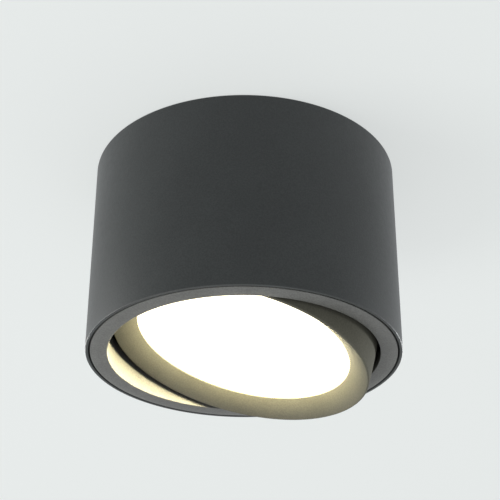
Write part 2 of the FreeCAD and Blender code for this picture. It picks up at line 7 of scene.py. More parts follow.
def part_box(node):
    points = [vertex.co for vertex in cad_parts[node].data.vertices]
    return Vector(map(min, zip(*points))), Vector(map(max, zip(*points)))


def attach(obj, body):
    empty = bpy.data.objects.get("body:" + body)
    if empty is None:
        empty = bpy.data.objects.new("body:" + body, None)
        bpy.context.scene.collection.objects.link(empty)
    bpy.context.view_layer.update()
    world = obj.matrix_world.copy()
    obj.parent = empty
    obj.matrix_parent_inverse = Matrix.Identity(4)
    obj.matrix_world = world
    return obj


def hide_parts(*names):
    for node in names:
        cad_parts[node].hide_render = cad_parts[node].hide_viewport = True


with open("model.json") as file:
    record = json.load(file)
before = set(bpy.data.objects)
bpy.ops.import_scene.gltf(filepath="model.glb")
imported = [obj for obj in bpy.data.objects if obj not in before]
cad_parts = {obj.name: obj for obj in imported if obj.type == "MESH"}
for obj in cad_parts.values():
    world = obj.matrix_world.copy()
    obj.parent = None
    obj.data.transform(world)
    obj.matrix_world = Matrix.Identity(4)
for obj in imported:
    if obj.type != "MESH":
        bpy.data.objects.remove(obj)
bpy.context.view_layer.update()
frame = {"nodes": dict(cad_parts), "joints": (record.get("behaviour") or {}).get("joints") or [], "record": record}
print("frame loaded")

mm = 0.001
overcut = 1.0 * mm  # how far cutters and welded parts run past the face that they meet
nearBy = 0.01 * mm  # points closer than this count as one
seamWidth = 0.003 * mm  # what the cuts leave apart by less than this is merged
sliverWidth = 0.002 * mm  # faces thinner than this go
threadGap = 0.05 * mm  # between a screw's thread and its hole
fitGap = 0.1 * mm  # round a screw's shank, a bush or an insert
threadDepth = 0.35  # of the pitch
bendShare = 0.3  # where the two facets of a rounded corner meet
headShare = 0.3  # of a slotted head's height, which is rounded
sharpAngle = 50  # in degrees, rounds only the edges that are sharper
facets = {"drum": 256, "large": 192, "sink": 160, "fins": 128, "bush": 96, "washer": 64, "rod": 48, "screw": 40,
          "hole": 32}
joints = {joint["name"]: joint for joint in frame["joints"]}
drumLow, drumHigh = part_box("housing")
drumRadius = drumHigh.x
mouthZ = drumLow.z  # the lamp's lower face
pivot = Vector(joints["head_tilt"]["pos_m"])
tiltAxis = Vector(joints["head_tilt"]["axis"])
ringTurn = math.atan2(tiltAxis.y, tiltAxis.x) + math.pi / 2
headLean = math.radians(14)  # how far the head leans at rest


def deselectAll():
    if bpy.context.mode != "OBJECT":
        bpy.ops.object.mode_set(mode="OBJECT")
    bpy.ops.object.select_all(action="DESELECT")


def selectOnly(*pieces):
    deselectAll()
    for piece in pieces:
        piece.select_set(True)
    bpy.context.view_layer.objects.active = pieces[0]


def applyPlace(piece):
    selectOnly(piece)
    bpy.ops.object.transform_apply(location=True, rotation=True, scale=True)
    return piece


def turned(name, outline, sides, isShell):
    # a circle is drawn, then extruded and scaled along the outline:
    # a shell closes on itself, a solid has filled ends
    deselectAll()
    radius, height = outline[0]
    bpy.ops.mesh.primitive_circle_add(vertices=sides, radius=radius, location=(0, 0, height),
                                      fill_type="NOTHING" if isShell else "NGON")
    piece = bpy.context.object
    piece.name = name
    bpy.ops.object.mode_set(mode="EDIT")
    bpy.ops.mesh.select_all(action="SELECT")
    for nextRadius, nextHeight in outline[1:] + (outline[:1] if isShell else []):
        bpy.ops.mesh.extrude_region_move(TRANSFORM_OT_translate={"value": (0, 0, nextHeight - height)})
        scale = nextRadius / radius
        bpy.ops.transform.resize(value=(scale, scale, 1), center_override=(0, 0, nextHeight))
        radius, height = nextRadius, nextHeight
    bpy.ops.mesh.select_all(action="SELECT")
    if isShell:
        bpy.ops.mesh.remove_doubles(threshold=nearBy)
    bpy.ops.mesh.normals_make_consistent(inside=False)
    return applyPlace(piece)


def turnedShell(name, outline, sides=facets["large"]):
    return turned(name, outline, sides, True)


def squareRing(name, inner, outer, low, high, sides=facets["large"]):
    return turnedShell(name, [(inner, low), (outer, low), (outer, high), (inner, high)], sides)


def turnedSolid(name, outline, sides=facets["large"]):
    return turned(name, outline, sides, False)


def applyModifier(piece, kind, **settings):
    selectOnly(piece)
    modifier = piece.modifiers.new(kind.lower(), kind)
    for key, value in settings.items():
        setattr(modifier, key, value)
    bpy.ops.object.modifier_apply(modifier=modifier.name)


def roundEdges(piece, width, segments=3, angle=30):
    applyModifier(piece, "BEVEL", width=width, segments=segments, limit_method="ANGLE",
                  angle_limit=math.radians(angle), miter_outer="MITER_ARC", use_clamp_overlap=True)
    return piece


def carve(piece, cutter, operation="DIFFERENCE"):
    applyModifier(piece, "BOOLEAN", object=cutter, operation=operation, solver="EXACT")
    bpy.data.objects.remove(cutter)


def softShade(piece, angle=35):
    selectOnly(piece)
    bpy.ops.object.shade_smooth_by_angle(angle=math.radians(angle))


def turnAboutAxis(piece, angle):
    piece.matrix_world = Matrix.Rotation(angle, 4, "Z") @ piece.matrix_world
    return applyPlace(piece)


def leanWithHead(piece):
    lean = Matrix.Rotation(ringTurn, 4, "Z") @ Matrix.Rotation(headLean, 4, "Y")
    piece.matrix_world = Matrix.Translation(pivot) @ lean @ Matrix.Translation(-pivot) @ piece.matrix_world
    return applyPlace(piece)


def rodAlong(axis, radius, start, end, across=(0, 0), sides=facets["rod"], endRadius=None, angle=0.0):
    # a cylinder, or a cone where endRadius is given, along X, Y or Z between two places on that axis,
    # then turned about the lamp's axis
    deselectAll()
    middle = (start + end) / 2
    place = {"X": (middle, across[0], across[1]), "Y": (across[0], middle, across[1]),
             "Z": (across[0], across[1], middle)}[axis]
    turn = {"X": (0, math.pi / 2, 0), "Y": (-math.pi / 2, 0, 0), "Z": (0, 0, 0)}[axis]
    if endRadius is None:
        bpy.ops.mesh.primitive_cylinder_add(vertices=sides, radius=radius, depth=end - start,
                                            location=place, rotation=turn)
    else:
        bpy.ops.mesh.primitive_cone_add(vertices=sides, radius1=radius, radius2=endRadius, depth=end - start,
                                        location=place, rotation=turn)
    return turnAboutAxis(applyPlace(bpy.context.object), angle)


def slab(low, high):
    # a box between two corners
    deselectAll()
    middle = [(a + b) / 2 for a, b in zip(low, high)]
    bpy.ops.mesh.primitive_cube_add(size=1, location=middle, scale=[b - a for a, b in zip(low, high)])
    return applyPlace(bpy.context.object)


def copyOf(piece, angle=0.0):
    # a copy with its own mesh, turned about the lamp's axis
    selectOnly(piece)
    bpy.ops.object.duplicate(linked=False)
    return turnAboutAxis(bpy.context.object, angle)


def evenly(piece, count):
    return [piece] + [copyOf(piece, index * 2 * math.pi / count) for index in range(1, count)]


def moveTo(piece, x, y):
    piece.location = (x, y, 0)
    return applyPlace(piece)


def drill(radius, low, high, place, angle=0.0):
    # an upright cutter for a small hole, run past both of its faces
    return rodAlong("Z", radius, low - overcut, high + overcut, place, facets["hole"], angle=angle)


def spreadOut(piece, places, name):
    # copies of a piece, one at each place, as one object
    pieces = [piece] + [copyOf(piece) for place in places[1:]]
    for copy, place in zip(pieces, places):
        moveTo(copy, *place)
    return joined(pieces, name)


def joined(pieces, name=None):
    selectOnly(*pieces)
    if len(pieces) > 1:
        bpy.ops.object.join()
    piece = bpy.context.object
    if name:
        piece.name = name
    return piece


def cutAway(piece, *cutters):
    for cutter in cutters:
        carve(piece, cutter)
    return piece


def weldOn(piece, *parts):
    for part in parts:
        carve(piece, part, "UNION")
    return piece


def sector(outline, width, angle):
    # a piece of a turned ring, of one width, about the direction at an angle
    ring = turnedShell("sector", outline)
    reach = max(radius for radius, height in outline) + overcut
    low = min(height for radius, height in outline) - overcut
    high = max(height for radius, height in outline) + overcut
    carve(ring, slab((0, -width / 2, low), (reach, width / 2, high)), "INTERSECT")
    return turnAboutAxis(ring, angle)


def threadOutline(radius, start, end, pitch):
    # zigzag of a thread's flank, from one place to another
    root = radius - pitch * threadDepth
    count = max(2, int(abs(end - start) / pitch))
    step = (end - start) / count
    outline = []
    for index in range(count):
        outline += [(root, start + index * step), (radius, start + (index + 0.5) * step)]
    return outline + [(root, end)]


def softCorner(radius, face, edge, up):
    # a rounded corner as two facets, from a turned piece's end face to its side
    bend = bendShare * edge
    return [(radius - edge, face), (radius - bend, face + up * bend), (radius, face + up * edge)]


def machineScrew(name, screw, seat, tip, x, y):
    # an upright screw with a slot across its head, which lies on the other side of the seat from the tip
    up = 1 if tip > seat else -1
    face = seat - up * screw["headHeight"]
    head = softCorner(screw["headRadius"], face, screw["headHeight"] * headShare, up)
    thread = threadOutline(screw["radius"], seat, tip, screw["pitch"])
    piece = turnedSolid(name, head + [(screw["headRadius"], seat)] + thread, facets["screw"])
    low, high = sorted((face - up * overcut, face + up * screw["slotDepth"]))
    reach = screw["headRadius"] + overcut
    half = screw["slotWidth"] / 2
    cutAway(piece, slab((-reach, -half, low), (reach, half, high)))
    return moveTo(piece, x, y)


def hexKey(radius, low, high):
    return rodAlong("Z", radius, low, high, sides=6)


def layAlong(piece, axis, place):
    # an upright piece is laid along +Y or -X, its zero height going to a place
    turn = Matrix.Rotation(-math.pi / 2, 4, {"Y": "X", "-X": "Y"}[axis])
    piece.matrix_world = Matrix.Translation(place) @ turn @ piece.matrix_world
    return applyPlace(piece)


def selectNothing(piece, kind):
    # leaves none of a piece's points or edges selected
    selectOnly(piece)
    bpy.ops.object.mode_set(mode="EDIT")
    bpy.ops.mesh.select_mode(type=kind)
    bpy.ops.mesh.select_all(action="DESELECT")
    bpy.ops.object.mode_set(mode="OBJECT")


def roundUprights(piece, width, segments=6):
    # rounds the edges that run along Z
    selectNothing(piece, "EDGE")
    points = piece.data.vertices
    for edge in piece.data.edges:
        a, b = points[edge.vertices[0]].co, points[edge.vertices[1]].co
        edge.select = (a.xy - b.xy).length < nearBy
    bpy.ops.object.mode_set(mode="EDIT")
    bpy.ops.mesh.bevel(offset=width, segments=segments, affect="EDGES")
    bpy.ops.object.mode_set(mode="OBJECT")


def newMaterial(name):
    material = bpy.data.materials.new(name)
    material.use_nodes = True
    nodes = material.node_tree.nodes
    return material, nodes, material.node_tree.links, nodes["Principled BSDF"]


def setInputs(node, values):
    for key, value in values.items():
        node.inputs[key].default_value = value


def mixShaders(nodes, links, factor, first, second):
    mix = nodes.new("ShaderNodeMixShader")
    for source, place in ((factor, 0), (first, 1), (second, 2)):
        links.new(source, mix.inputs[place])
    return mix.outputs["Shader"]


def addNoise(nodes, links, scale, detail):
    place = nodes.new("ShaderNodeTexCoord")
    noise = nodes.new("ShaderNodeTexNoise")
    setInputs(noise, {"Scale": scale, "Detail": detail})
    links.new(place.outputs["Object"], noise.inputs["Vector"])
    return noise.outputs["Fac"]


def addBlend(nodes, links, factor, low, high):
    ramp = nodes.new("ShaderNodeValToRGB")
    for element, position, colour in zip(ramp.color_ramp.elements, blendRange, (low, high)):
        element.position = position
        element.color = (*colour, 1)
    links.new(factor, ramp.inputs["Fac"])
    return ramp.outputs["Color"]


def addRange(nodes, links, factor, low, high):
    spread = nodes.new("ShaderNodeMapRange")
    setInputs(spread, {"To Min": low, "To Max": high})
    links.new(factor, spread.inputs["Value"])
    return spread.outputs["Result"]


def addBump(nodes, links, height, strength, distance, before=None):
    bump = nodes.new("ShaderNodeBump")
    setInputs(bump, {"Strength": strength, "Distance": distance})
    links.new(height, bump.inputs["Height"])
    if before is not None:
        links.new(before, bump.inputs["Normal"])
    return bump.outputs["Normal"]


def tone(colour, factor):
    return tuple(min(1.0, channel * factor) for channel in colour)


def addTone(nodes, links, finish):
    # the colour drifts slowly to both sides of what is written
    colour, spread = finish["colour"], finish["spread"]
    drift = addNoise(nodes, links, *finish["drift"])
    return addBlend(nodes, links, drift, tone(colour, 1 - spread), tone(colour, 1 + spread))


def powderCoat(name, finish):
    # baked powder: a fine pebble, a slow orange peel, dark specks and a little drift in tone
    material, nodes, links, shader = newMaterial(name)
    speck = addNoise(nodes, links, *finish["speck"])
    peel = addNoise(nodes, links, *finish["peel"])
    pebble = addNoise(nodes, links, *finish["pebble"])
    flecks = nodes.new("ShaderNodeMix")
    flecks.data_type = "RGBA"
    flecks.blend_type = "MULTIPLY"
    flecks.inputs["Factor"].default_value = finish["fleck"]
    links.new(addTone(nodes, links, finish), flecks.inputs["A"])
    links.new(addBlend(nodes, links, speck, finish["speckColour"], (1, 1, 1)), flecks.inputs["B"])
    links.new(flecks.outputs["Result"], shader.inputs["Base Color"])
    rough, sway = finish["roughness"], finish["roughSpread"]
    links.new(addRange(nodes, links, peel, rough - sway, rough + sway), shader.inputs["Roughness"])
    slow = addBump(nodes, links, peel, finish["peelBump"], finish["depth"])
    links.new(addBump(nodes, links, pebble, finish["pebbleBump"], finish["depth"], slow), shader.inputs["Normal"])
    shader.inputs["Specular IOR Level"].default_value = finish["specular"]
    return material


def plainStuff(name, finish):
    # moulded, cast or plated stuff: drift in tone and a fine grain
    material, nodes, links, shader = newMaterial(name)
    grain = addNoise(nodes, links, *finish["grain"])
    links.new(addTone(nodes, links, finish), shader.inputs["Base Color"])
    rough, sway = finish["roughness"], finish["roughSpread"]
    links.new(addRange(nodes, links, grain, rough - sway, rough + sway), shader.inputs["Roughness"])
    links.new(addBump(nodes, links, grain, finish["bump"], finish["depth"]), shader.inputs["Normal"])
    shader.inputs["Metallic"].default_value = finish["metal"]
    return material


def opalGlow(name, finish):
    # satin opal plastic, lit from behind
    material, nodes, links, shader = newMaterial(name)
    drift = addNoise(nodes, links, *finish["drift"])
    grain = addNoise(nodes, links, *finish["grain"])
    dull = tone(finish["colour"], finish["dullShare"])
    links.new(addBlend(nodes, links, drift, dull, finish["colour"]), shader.inputs["Base Color"])
    links.new(addBump(nodes, links, grain, finish["bump"], finish["depth"]), shader.inputs["Normal"])
    setInputs(shader, {"Roughness": finish["roughness"], "Emission Color": (*finish["glow"], 1)})
    place = nodes.new("ShaderNodeTexCoord")
    reach = nodes.new("ShaderNodeVectorMath")  # how far from the middle of the lens, set when it is made
    reach.name = "reach"
    reach.operation = "DISTANCE"
    links.new(place.outputs["Object"], reach.inputs[0])
    falloff = nodes.new("ShaderNodeMapRange")  # dimmer and so warmer by the rim
    falloff.name = "falloff"
    falloff.interpolation_type = "SMOOTHSTEP"
    setInputs(falloff, {"To Min": finish["shown"], "To Max": finish["shownRim"]})
    links.new(reach.outputs["Value"], falloff.inputs["Value"])
    path = nodes.new("ShaderNodeLightPath")  # plain white to look at, bright for what it lights
    strength = nodes.new("ShaderNodeMix")
    strength.inputs["A"].default_value = finish["strength"]
    links.new(path.outputs["Is Camera Ray"], strength.inputs["Factor"])
    links.new(falloff.outputs["Result"], strength.inputs["B"])
    links.new(strength.outputs["Result"], shader.inputs["Emission Strength"])
    return material


# a noise is given as its scale and detail; a finish takes what it doesn't name from the first entry of its kind
blendRange = (0.35, 0.65)
powder = {"drift": (60, 3), "speck": (1700, 1), "peel": (420, 2), "pebble": (1500, 2), "spread": 0.06,
          "speckColour": (0.55, 0.55, 0.55), "roughSpread": 0.05, "peelBump": 0.12, "pebbleBump": 0.6,
          "depth": 0.05 * mm, "specular": 0.5}
powderFinishes = {
    "body_paint": {"colour": (0.031, 0.035, 0.034), "fleck": 0.6, "roughness": 0.46},
    # painted light: the ring's paint is written far lighter than the drum's, which paints in the light from below and
    # the glare that brighten its downward face
    "ring_paint": {"colour": (0.124, 0.124, 0.116), "fleck": 0.7, "roughness": 0.5},
    # painted light: the head's paint is written lighter than the drum's and tinted warm, which paints in the lamp's
    # warm light and the bounce light on the cone and barrel
    "head_paint": {"colour": (0.113, 0.109, 0.086), "fleck": 0.35, "roughness": 0.85, "peelBump": 0.15,
                   "specular": 0.05},
}
plain = {"drift": (90, 3), "grain": (1500, 3), "spread": 0.06, "roughSpread": 0.06, "bump": 0.2,
         "depth": 0.03 * mm, "metal": 0.0}
plainFinishes = {
    "zinc_steel": {"colour": (0.62, 0.63, 0.65), "metal": 1.0, "roughness": 0.34, "spread": 0.03, "drift": (700, 3)},
    "black_steel": {"colour": (0.05, 0.05, 0.055), "metal": 1.0, "roughness": 0.4},
    "spring_steel": {"colour": (0.5, 0.51, 0.53), "metal": 1.0, "roughness": 0.28, "bump": 0.15},
    "brass": {"colour": (0.78, 0.6, 0.28), "metal": 1.0, "roughness": 0.3, "bump": 0.15},
    "bare_aluminium": {"colour": (0.66, 0.67, 0.69), "metal": 1.0, "roughness": 0.5, "bump": 0.5},
    "board_white": {"colour": (0.85, 0.86, 0.86), "roughness": 0.4, "bump": 0.1},
    "board_green": {"colour": (0.03, 0.2, 0.08), "roughness": 0.3, "bump": 0.1},
    "white_plastic": {"colour": (0.85, 0.85, 0.83), "roughness": 0.5},
    "block_plastic": {"colour": (0.8, 0.79, 0.74), "roughness": 0.45, "bump": 0.25},
    "driver_plastic": {"colour": (0.74, 0.76, 0.78), "roughness": 0.55, "bump": 0.5},
    "coil_tape": {"colour": (0.7, 0.5, 0.09), "roughness": 0.35, "bump": 0.1},
    "capacitor_sleeve": {"colour": (0.03, 0.03, 0.05), "roughness": 0.3, "bump": 0.05},
    "led_phosphor": {"colour": (0.9, 0.72, 0.12), "roughness": 0.3, "bump": 0.05},
    "nylon": {"colour": (0.82, 0.79, 0.7), "roughness": 0.45, "bump": 0.15},
    "bush_rubber": {"colour": (0.02, 0.02, 0.02), "roughness": 0.65, "bump": 0.4},
}
opal = {"colour": (0.93, 0.92, 0.88), "roughness": 0.45, "drift": (45, 2), "dullShare": 0.97, "grain": (2200, 2),
        "bump": 0.1, "depth": 0.02 * mm, "glow": (1.0, 0.88, 0.55), "strength": 30.0, "shown": 1.8,
        "shownRim": 1.0}


def finishName(slotName):
    first, *rest = slotName.split("_")
    return first + "".join(word.title() for word in rest)


stuff = {"opal": opalGlow("opal", opal)}
for slotName, finish in powderFinishes.items():
    stuff[slotName] = powderCoat(finishName(slotName), {**powder, **finish})
for slotName, finish in plainFinishes.items():
    stuff[slotName] = plainStuff(finishName(slotName), {**plain, **finish})
for subpart in frame["record"]["subparts"]:
    for holder in frame["nodes"][subpart["node"]].material_slots:
        holder.material = stuff[subpart["material_slot"]]
print("CAD nodes dressed")


def closeSeams(piece):
    # merges what the cuts left lying on the same spot, and fills slits
    selectOnly(piece)
    bpy.ops.object.mode_set(mode="EDIT")
    bpy.ops.mesh.select_mode(type="VERT")
    bpy.ops.mesh.select_all(action="SELECT")
    bpy.ops.mesh.remove_doubles(threshold=seamWidth)
    bpy.ops.mesh.dissolve_degenerate(threshold=sliverWidth)
    bpy.ops.mesh.select_all(action="SELECT")
    bpy.ops.mesh.delete_loose()
    bpy.ops.mesh.select_all(action="DESELECT")
    bpy.ops.mesh.select_non_manifold()
    bpy.ops.mesh.fill_holes(sides=0)
    bpy.ops.object.mode_set(mode="OBJECT")


def handOver(piece, body, slotName, *nodes):
    # hands a finished piece to its body
    closeSeams(piece)
    piece.data.materials.clear()
    piece.data.materials.append(stuff[slotName])
    softShade(piece)
    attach(piece, body)
    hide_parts(*nodes)


drum = {
    "wall": 3.0 * mm,
    "lipWall": 1.2 * mm,
    "ledgeDepth": 3.0 * mm,
    "grooveDepth": 1.2 * mm,
    "grooveLow": 17.5 * mm,
    "grooveHigh": 21.5 * mm,
    "edgeRound": 0.32 * mm,
    "stopReach": 1.1 * mm,
    "stopWidth": 4.3 * mm,
    "stopLow": 12.1 * mm,
    "stopHeight": 3.0 * mm,
}
sideScrew = {
    "drop": 8.0 * mm,
    "radius": 1.75 * mm,
    "headRadius": 3.4 * mm,
    "headDepth": 1.65 * mm,
    "inset": 0.1 * mm,
    "length": 9.2 * mm,
    "pitch": 0.7 * mm,
    "edge": 0.12 * mm,
    "holeGap": 0.35 * mm,
    "sinkRun": 0.2 * mm,
    "keyRadius": 1.25 * mm,
    "keyDepth": 0.9 * mm,
}
bore = drumRadius - drum["wall"]


def makeDrum():
    lipBore = drumRadius - drum["lipWall"]
    groove = bore + drum["grooveDepth"]
    grooveLow = mouthZ + drum["grooveLow"]
    grooveHigh = mouthZ + drum["grooveHigh"]
    ledge = mouthZ + drum["ledgeDepth"]
    piece = turnedShell("drum", [
        (drumRadius, mouthZ), (drumRadius, drumHigh.z), (bore, drumHigh.z), (bore, grooveHigh),
        (groove, grooveHigh), (groove, grooveLow), (bore, grooveLow), (bore, ledge), (lipBore, ledge),
        (lipBore, mouthZ)], facets["drum"])
    roundEdges(piece, drum["edgeRound"])
    low = mouthZ + drum["stopLow"]
    high = low + drum["stopHeight"]
    inner, root = bore - drum["stopReach"], bore + drum["wall"] / 2
    weldOn(piece, sector([(inner, low), (root, low), (root, high), (inner, high)], drum["stopWidth"], ringTurn))
    place = (0, drumHigh.z - sideScrew["drop"])
    hole = sideScrew["radius"] + sideScrew["holeGap"]
    mouth = sideScrew["headRadius"] + sideScrew["holeGap"]
    slope = (mouth - hole) / sideScrew["headDepth"]
    sinkRun = sideScrew["sinkRun"]
    for angle in (0, math.pi):
        cutAway(piece, rodAlong("X", hole, bore - overcut, drumRadius + overcut, place, angle=angle),
                rodAlong("X", hole - sinkRun * slope, drumRadius - sideScrew["headDepth"] - sinkRun,
                         drumRadius + overcut, place, endRadius=mouth + overcut * slope, angle=angle))
    return piece


def makeSideScrews():
    outline = [(sideScrew["headRadius"] - sideScrew["edge"], 0), (sideScrew["headRadius"], sideScrew["edge"])]
    outline += threadOutline(sideScrew["radius"], sideScrew["headDepth"], sideScrew["length"], sideScrew["pitch"])
    screw = turnedSolid("sideScrews", outline, facets["rod"])
    cutAway(screw, hexKey(sideScrew["keyRadius"], -overcut, sideScrew["keyDepth"]))
    layAlong(screw, "-X", (drumRadius - sideScrew["inset"], 0, drumHigh.z - sideScrew["drop"]))
    return joined(evenly(screw, 2), "sideScrews")


handOver(makeDrum(), "fixture", "body_paint", "housing")
handOver(makeSideScrews(), "fixture", "black_steel", "side_screws")
print("drum made")

plate = {
    "radius": 56.4 * mm,
    "thickness": 1.5 * mm,
    "edgeRound": 0.2 * mm,
    "slotSpacing": 80.0 * mm,
    "slotLength": 12.0 * mm,
    "slotWidth": 5.0 * mm,
    "beadRadius": 51.2 * mm,
    "beadWidth": 1.5 * mm,
    "beadDepth": 0.3 * mm,
    "lugOuter": 55.63 * mm,
    "lugThickness": 1.5 * mm,
    "lugWidth": 16.0 * mm,
    "lugDrop": 14.0 * mm,
    "bossRadius": 3.6 * mm,
    "bossLength": 2.5 * mm,
    "lugRound": 0.3 * mm,
    "bossRound": 0.2 * mm,
}
cableBush = {
    "bore": 4.0 * mm,
    "neck": 6.0 * mm,
    "flange": 8.4 * mm,
    "flangeThickness": 2.0 * mm,
    "skirt": 5.4 * mm,
    "skirtLength": 3.0 * mm,
    "inset": 0.3 * mm,
    "edgeRound": 0.35 * mm,
}
smallScrew = {"radius": 1.25 * mm, "headRadius": 2.0 * mm, "headHeight": 1.5 * mm, "pitch": 0.45 * mm,
              "slotWidth": 0.6 * mm, "slotDepth": 0.6 * mm}
driverScrew = {**smallScrew, "x": 33.5 * mm, "y": -27.0 * mm}
blockScrew = {**smallScrew, "radius": 1.3 * mm, "headRadius": 2.2 * mm, "pitch": 0.5 * mm, "x": 5.0 * mm,
              "y": 25.0 * mm}
earthScrew = {**smallScrew, "radius": 1.9 * mm, "headRadius": 3.5 * mm, "headHeight": 2.4 * mm, "pitch": 0.7 * mm,
              "x": 34.0 * mm, "y": 22.0 * mm, "washerRadius": 4.5 * mm, "washerThickness": 0.8 * mm,
              "washerRound": 0.15 * mm}
plateLow = -plate["thickness"]
earthSeat = plateLow - earthScrew["washerThickness"]
screwTip = -0.1 * mm  # the plate's screws end just below the ceiling


def makeSlot(side):
    reach = plate["slotLength"] / 2 - plate["slotWidth"] / 2
    middle = side * plate["slotSpacing"] / 2
    half = plate["slotWidth"] / 2
    low = plateLow - overcut
    cutter = slab((middle - reach, -half, low), (middle + reach, half, overcut))
    return weldOn(cutter, *[rodAlong("Z", half, low, overcut, (x, 0)) for x in (middle - reach, middle + reach)])


def makeCeilingPlate():
    piece = squareRing("ceilingPlate", cableBush["neck"] + fitGap, plate["radius"], plateLow, 0)
    cutAway(piece, makeSlot(1), makeSlot(-1))
    for screw, sides in ((blockScrew, (-1, 1)), (driverScrew, (-1, 1)), (earthScrew, (1,))):
        for side in sides:
            cutAway(piece, drill(screw["radius"] + threadGap, plateLow, 0, (side * screw["x"], screw["y"])))
    roundEdges(piece, plate["edgeRound"], 2, sharpAngle)
    # a stiffening bead, pressed in from above
    outer, inner = plate["beadRadius"] + plate["beadWidth"] / 2, plate["beadRadius"] - plate["beadWidth"] / 2
    depth = plate["beadDepth"]
    return cutAway(piece, turnedShell("bead", [(inner + depth, -depth), (outer - depth, -depth),
                                               (outer + depth, depth), (inner - depth, depth)]))


def makeSideLug():
    near = plate["lugOuter"] - plate["lugThickness"]
    half = plate["lugWidth"] / 2
    height = drumHigh.z - sideScrew["drop"]
    piece = slab((near, -half, -plate["lugDrop"]), (plate["lugOuter"], half, plateLow))
    roundEdges(piece, plate["lugRound"])
    bossNear = near - plate["bossLength"]
    boss = rodAlong("X", plate["bossRadius"], bossNear, near + plate["lugThickness"] / 2, (0, height))
    weldOn(piece, roundEdges(boss, plate["bossRound"], 2))
    return cutAway(piece, rodAlong("X", sideScrew["radius"] + threadGap, bossNear - overcut,
                                   plate["lugOuter"] + overcut, (0, height)))


def makeCableBush():
    flangeLow = plateLow - cableBush["flangeThickness"]
    skirtLow = flangeLow - cableBush["skirtLength"]
    piece = turnedShell("cableBush", [
        (cableBush["bore"], -cableBush["inset"]), (cableBush["neck"], -cableBush["inset"]),
        (cableBush["neck"], plateLow), (cableBush["flange"], plateLow), (cableBush["flange"], flangeLow),
        (cableBush["skirt"] + cableBush["inset"], flangeLow), (cableBush["skirt"], skirtLow),
        (cableBush["bore"], skirtLow)], facets["bush"])
    return roundEdges(piece, cableBush["edgeRound"])


def makeEarthWasher():
    piece = squareRing("earthWasher", earthScrew["radius"] + fitGap, earthScrew["washerRadius"], earthSeat,
                       plateLow, facets["washer"])
    return moveTo(roundEdges(piece, earthScrew["washerRound"], 2), earthScrew["x"], earthScrew["y"])


handOver(makeCeilingPlate(), "fixture", "zinc_steel", "ceiling_plate")
sideLug = makeSideLug()
otherLug = copyOf(sideLug, math.pi)
sideLug.name, otherLug.name = "sideLug1", "sideLug2"
handOver(sideLug, "fixture", "zinc_steel", "side_lug_1")
handOver(otherLug, "fixture", "zinc_steel", "side_lug_2")
handOver(makeCableBush(), "fixture", "bush_rubber", "cable_bush")
handOver(makeEarthWasher(), "fixture", "brass", "earth_washer")
handOver(machineScrew("earthScrew", earthScrew, earthSeat, screwTip, earthScrew["x"], earthScrew["y"]),
         "fixture", "brass", "earth_screw")
print("ceiling plate made")

terminal = {
    "length": 32.0 * mm,
    "width": 16.0 * mm,
    "height": 13.0 * mm,
    "y": 25.0 * mm,
    "edgeRound": 1.0 * mm,
    "polePitch": 10.0 * mm,
    "wireHole": 2.0 * mm,
    "funnel": 0.9 * mm,
    "funnelRun": 0.3 * mm,
    "insertWidth": 5.6 * mm,
    "insertHeight": 6.0 * mm,
    "insertMargin": 1.5 * mm,
    "clampRadius": 1.5 * mm,
    "clampPlace": 4.2 * mm,
    "clampLength": 5.0 * mm,
    "clampPitch": 0.5 * mm,
    "clampEdge": 0.2 * mm,
    "clampLead": 0.5 * mm,
    "clampSlot": 0.6 * mm,
    "clampSlotDepth": 0.7 * mm,
    "screwRecess": 4.0 * mm,
    "softRound": 0.3 * mm,
}
poles = [-terminal["polePitch"], 0, terminal["polePitch"]]
clampPlaces = [(x, terminal["y"] + side * terminal["clampPlace"]) for x in poles for side in (-1, 1)]
insertZ = plateLow - terminal["height"] / 2
blockLow = plateLow - terminal["height"]
blockNear = terminal["y"] - terminal["width"] / 2
blockFar = terminal["y"] + terminal["width"] / 2


def makeTerminalBlock():
    half = terminal["length"] / 2
    piece = slab((-half, blockNear, blockLow), (half, blockFar, plateLow))
    roundUprights(piece, terminal["edgeRound"])
    roundEdges(piece, terminal["softRound"], 2)
    hole = terminal["wireHole"] + fitGap
    pocketNear = blockNear + terminal["insertMargin"] - fitGap
    pocketFar = blockFar - terminal["insertMargin"] + fitGap
    pocketHalf = terminal["insertWidth"] / 2 + fitGap
    pocketRise = terminal["insertHeight"] / 2 + fitGap
    wide, slim = hole + terminal["funnel"] + overcut, hole - terminal["funnelRun"]
    depth = terminal["funnel"] + terminal["funnelRun"]
    for x in poles:
        place = (x, insertZ)
        cutAway(piece, slab((x - pocketHalf, pocketNear, insertZ - pocketRise),
                            (x + pocketHalf, pocketFar, insertZ + pocketRise)),
                rodAlong("Y", hole, blockNear - overcut, blockFar + overcut, place),
                rodAlong("Y", wide, blockNear - overcut, blockNear + depth, place, endRadius=slim),
                rodAlong("Y", slim, blockFar - depth, blockFar + overcut, place, endRadius=wide))
    for place in clampPlaces:
        cutAway(piece, rodAlong("Z", terminal["clampRadius"] + fitGap, blockLow - overcut, insertZ, place,
                                facets["hole"]))
    for side in (-1, 1):
        place = (side * blockScrew["x"], blockScrew["y"])
        cutAway(piece, drill(blockScrew["radius"] + fitGap, blockLow, plateLow, place),
                rodAlong("Z", blockScrew["headRadius"] + fitGap, blockLow - overcut,
                         blockLow + terminal["screwRecess"], place, facets["hole"]))
    piece.name = "terminalBlock"
    return piece


def makeInserts():
    half = terminal["insertWidth"] / 2
    rise = terminal["insertHeight"] / 2
    insert = slab((-half, blockNear + terminal["insertMargin"], insertZ - rise),
                  (half, blockFar - terminal["insertMargin"], insertZ + rise))
    roundEdges(insert, terminal["softRound"], 2)
    cutAway(insert, rodAlong("Y", terminal["wireHole"], blockNear, blockFar, (0, insertZ)))
    for side in (-1, 1):
        cutAway(insert, rodAlong("Z", terminal["clampRadius"], insertZ - rise - overcut, insertZ,
                                 (0, terminal["y"] + side * terminal["clampPlace"]), facets["hole"]))
    return spreadOut(insert, [(x, 0) for x in poles], "terminalInserts")


